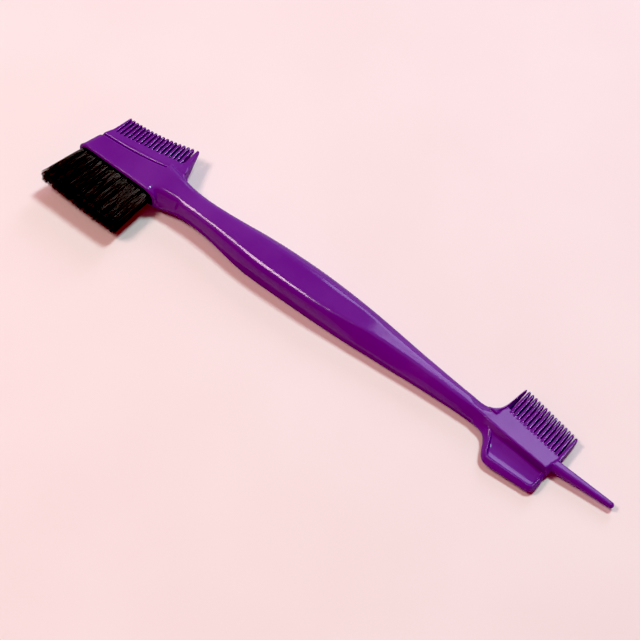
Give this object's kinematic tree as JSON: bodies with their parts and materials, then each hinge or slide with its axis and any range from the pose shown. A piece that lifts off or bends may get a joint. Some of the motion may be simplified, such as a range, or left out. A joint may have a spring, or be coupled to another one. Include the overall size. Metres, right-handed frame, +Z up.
{
  "type": "tint brush",
  "caption": "Double-ended hair tint brush: bristle head with a comb on its back at one end, comb, tray scoop and pin tail at the other.",
  "frame": {"origin": "middle of the flat face under the handle's belly, which rests on the table, so that the tail lies lower than the bristle head", "axes": "+X along the handle towards the pin tail, +Y the side both combs point to, +Z up from the table"},
  "size_m": [0.2221, 0.0415, 0.0122],
  "materials": {
    "purple_plastic": "gloss",
    "black_nylon": "satin",
    "anchor_steel": "satin"
  },
  "bodies": {
    "root": {"body": "purple_plastic", "tuft_top_01": "black_nylon", "tuft_top_02": "black_nylon", "tuft_top_03": "black_nylon", "tuft_top_04": "black_nylon", "tuft_top_05": "black_nylon", "tuft_top_06": "black_nylon", "tuft_top_07": "black_nylon", "tuft_top_08": "black_nylon", "tuft_top_09": "black_nylon", "tuft_top_10": "black_nylon", "tuft_top_11": "black_nylon", "tuft_bottom_01": "black_nylon", "tuft_bottom_02": "black_nylon", "tuft_bottom_03": "black_nylon", "tuft_bottom_04": "black_nylon", "tuft_bottom_05": "black_nylon", "tuft_bottom_06": "black_nylon", "tuft_bottom_07": "black_nylon", "tuft_bottom_08": "black_nylon", "tuft_bottom_09": "black_nylon", "tuft_bottom_10": "black_nylon", "tuft_bottom_11": "black_nylon", "anchor_top_01": "anchor_steel", "anchor_top_02": "anchor_steel", "anchor_top_03": "anchor_steel", "anchor_top_04": "anchor_steel", "anchor_top_05": "anchor_steel", "anchor_top_06": "anchor_steel", "anchor_top_07": "anchor_steel", "anchor_top_08": "anchor_steel", "anchor_top_09": "anchor_steel", "anchor_top_10": "anchor_steel", "anchor_top_11": "anchor_steel", "anchor_bottom_01": "anchor_steel", "anchor_bottom_02": "anchor_steel", "anchor_bottom_03": "anchor_steel", "anchor_bottom_04": "anchor_steel", "anchor_bottom_05": "anchor_steel", "anchor_bottom_06": "anchor_steel", "anchor_bottom_07": "anchor_steel", "anchor_bottom_08": "anchor_steel", "anchor_bottom_09": "anchor_steel", "anchor_bottom_10": "anchor_steel", "anchor_bottom_11": "anchor_steel"}
  },
  "joints": []
}
